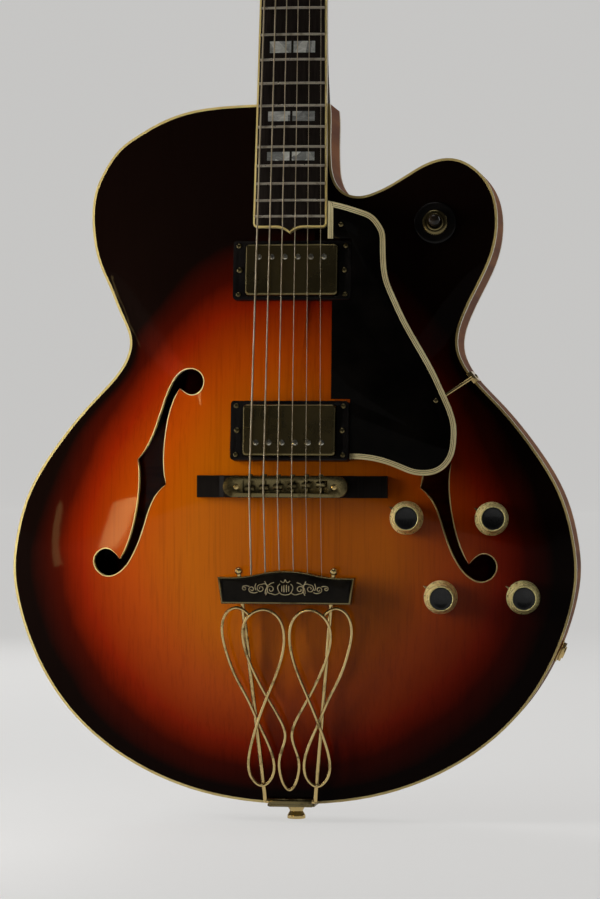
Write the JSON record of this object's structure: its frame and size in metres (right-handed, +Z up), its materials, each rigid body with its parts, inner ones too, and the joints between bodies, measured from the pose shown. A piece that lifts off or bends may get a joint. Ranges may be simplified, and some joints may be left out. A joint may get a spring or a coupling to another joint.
{
  "type": "archtop guitar",
  "caption": "Thin-bodied electric archtop guitar with a rounded cutaway, carved top with f-holes, covered pickups, looped wire tailpiece and turning knobs and tuners",
  "frame": {"origin": "tail end of the rim on the centre line at half its depth, where the end pin sits", "axes": "+Z up the body's centre line towards the head, -Y out of the top, +X to the treble side"},
  "size_m": [0.4318, 0.1449, 1.0814],
  "materials": {
    "sunburst_top": "gloss lacquer",
    "maple": "gloss lacquer",
    "inner_wood": "bare",
    "cream_binding": "aged gloss",
    "ebony": "satin",
    "pearl": "pearl",
    "fret_wire": "polished",
    "bone": "polished bone",
    "gold": "worn gold plate",
    "knob_gold": "gold under clear",
    "black_plastic": "gloss",
    "layered_edge": "cream and black layers",
    "string_steel": "wound and plain wire",
    "steel": "plain",
    "coil_plastic": "matte"
  },
  "bodies": {
    "guitar": {"top_plate": "sunburst_top", "back_plate": "maple", "bass_rim": "maple", "treble_rim": "maple", "neck": "maple", "linings": "inner_wood", "end_blocks": "inner_wood", "tone_bars": "inner_wood", "body_bindings": "cream_binding", "f_hole_bindings": "cream_binding", "fingerboard_binding": "cream_binding", "heel_cap": "cream_binding", "fingerboard": "ebony", "headstock_veneer": "ebony", "bridge_base": "ebony", "position_inlays": "pearl", "frets": "fret_wire", "nut": "bone", "pickup_covers": "gold", "pole_screws": "gold", "tuner_housings": "gold", "bridge_body": "gold", "bridge_thumbwheels": "gold", "bridge_saddles": "gold", "tail_crossbar": "gold", "tail_wire": "gold", "tail_bracket": "gold", "strap_buttons": "gold", "selector_switch": "gold", "output_jack": "gold", "control_pointers": "gold", "small_screws": "gold", "pickguard_bracket": "gold", "pickup_rings": "black_plastic", "pickguard": "black_plastic", "selector_washer": "black_plastic", "truss_rod_cover": "black_plastic", "pickguard_binding": "layered_edge", "strings": "string_steel", "string_windings": "string_steel", "truss_rod": "steel", "potentiometers": "steel", "pickup_coils": "coil_plastic"},
    "knob_1": {"control_knob_1": "knob_gold"},
    "knob_2": {"control_knob_2": "knob_gold"},
    "knob_3": {"control_knob_3": "knob_gold"},
    "knob_4": {"control_knob_4": "knob_gold"},
    "selector": {"selector_lever": "gold"},
    "tuner_key_1": {"tuner_button_1": "gold"},
    "string_post_1": {"tuner_post_1": "gold"},
    "tuner_key_2": {"tuner_button_2": "gold"},
    "string_post_2": {"tuner_post_2": "gold"},
    "tuner_key_3": {"tuner_button_3": "gold"},
    "string_post_3": {"tuner_post_3": "gold"},
    "tuner_key_4": {"tuner_button_4": "gold"},
    "string_post_4": {"tuner_post_4": "gold"},
    "tuner_key_5": {"tuner_button_5": "gold"},
    "string_post_5": {"tuner_post_5": "gold"},
    "tuner_key_6": {"tuner_button_6": "gold"},
    "string_post_6": {"tuner_post_6": "gold"}
  },
  "joints": [
    {"name": "knob_1_turn", "type": "hinge", "parent": "guitar", "child": "knob_1", "pos_m": [0.089, -0.04426, 0.218], "axis": [0.0816, -0.9967, 0.0007], "range_deg": [-150, 150]},
    {"name": "knob_2_turn", "type": "hinge", "parent": "guitar", "child": "knob_2", "pos_m": [0.152, -0.0362, 0.2175], "axis": [0.1558, -0.9874, 0.0275], "range_deg": [-150, 150]},
    {"name": "knob_3_turn", "type": "hinge", "parent": "guitar", "child": "knob_3", "pos_m": [0.1144, -0.04024, 0.1588], "axis": [0.1152, -0.9921, -0.0502], "range_deg": [-150, 150]},
    {"name": "knob_4_turn", "type": "hinge", "parent": "guitar", "child": "knob_4", "pos_m": [0.1758, -0.03237, 0.1588], "axis": [0.1144, -0.993, -0.0307], "range_deg": [-150, 150]},
    {"name": "selector_tilt", "type": "hinge", "parent": "guitar", "child": "selector", "pos_m": [0.10839, -0.02883, 0.43965], "axis": [0.9987, 0.0515, -0.0022], "range_deg": [-13, 13]},
    {"name": "tuner_key_1_turn", "type": "hinge", "parent": "guitar", "child": "tuner_key_1", "pos_m": [-0.0225, 0.03364, 0.93687], "axis": [-1, 0, 0], "continuous": true},
    {"name": "string_post_1_turn", "type": "hinge", "parent": "guitar", "child": "string_post_1", "pos_m": [-0.0225, 0.03133, 0.93052], "axis": [0, -0.9397, 0.342], "continuous": true},
    {"name": "tuner_key_2_turn", "type": "hinge", "parent": "guitar", "child": "tuner_key_2", "pos_m": [-0.0249, 0.04732, 0.97445], "axis": [-1, 0, 0], "continuous": true},
    {"name": "string_post_2_turn", "type": "hinge", "parent": "guitar", "child": "string_post_2", "pos_m": [-0.0249, 0.04501, 0.96811], "axis": [0, -0.9397, 0.342], "continuous": true},
    {"name": "tuner_key_3_turn", "type": "hinge", "parent": "guitar", "child": "tuner_key_3", "pos_m": [-0.0273, 0.061, 1.01204], "axis": [-1, 0, 0], "continuous": true},
    {"name": "string_post_3_turn", "type": "hinge", "parent": "guitar", "child": "string_post_3", "pos_m": [-0.0273, 0.05869, 1.0057], "axis": [0, -0.9397, 0.342], "continuous": true},
    {"name": "tuner_key_4_turn", "type": "hinge", "parent": "guitar", "child": "tuner_key_4", "pos_m": [0.0273, 0.05638, 0.99936], "axis": [1, 0, 0], "continuous": true},
    {"name": "string_post_4_turn", "type": "hinge", "parent": "guitar", "child": "string_post_4", "pos_m": [0.0273, 0.05869, 1.0057], "axis": [0, -0.9397, 0.342], "continuous": true},
    {"name": "tuner_key_5_turn", "type": "hinge", "parent": "guitar", "child": "tuner_key_5", "pos_m": [0.0249, 0.0427, 0.96177], "axis": [1, 0, 0], "continuous": true},
    {"name": "string_post_5_turn", "type": "hinge", "parent": "guitar", "child": "string_post_5", "pos_m": [0.0249, 0.04501, 0.96811], "axis": [0, -0.9397, 0.342], "continuous": true},
    {"name": "tuner_key_6_turn", "type": "hinge", "parent": "guitar", "child": "tuner_key_6", "pos_m": [0.0225, 0.02902, 0.92418], "axis": [1, 0, 0], "continuous": true},
    {"name": "string_post_6_turn", "type": "hinge", "parent": "guitar", "child": "string_post_6", "pos_m": [0.0225, 0.03133, 0.93052], "axis": [0, -0.9397, 0.342], "continuous": true}
  ],
  "couplings": [
    {"joint": "string_post_1_turn", "follows": "tuner_key_1_turn", "ratio": -0.071429},
    {"joint": "string_post_2_turn", "follows": "tuner_key_2_turn", "ratio": -0.071429},
    {"joint": "string_post_3_turn", "follows": "tuner_key_3_turn", "ratio": -0.071429},
    {"joint": "string_post_4_turn", "follows": "tuner_key_4_turn", "ratio": -0.071429},
    {"joint": "string_post_5_turn", "follows": "tuner_key_5_turn", "ratio": -0.071429},
    {"joint": "string_post_6_turn", "follows": "tuner_key_6_turn", "ratio": -0.071429}
  ]
}
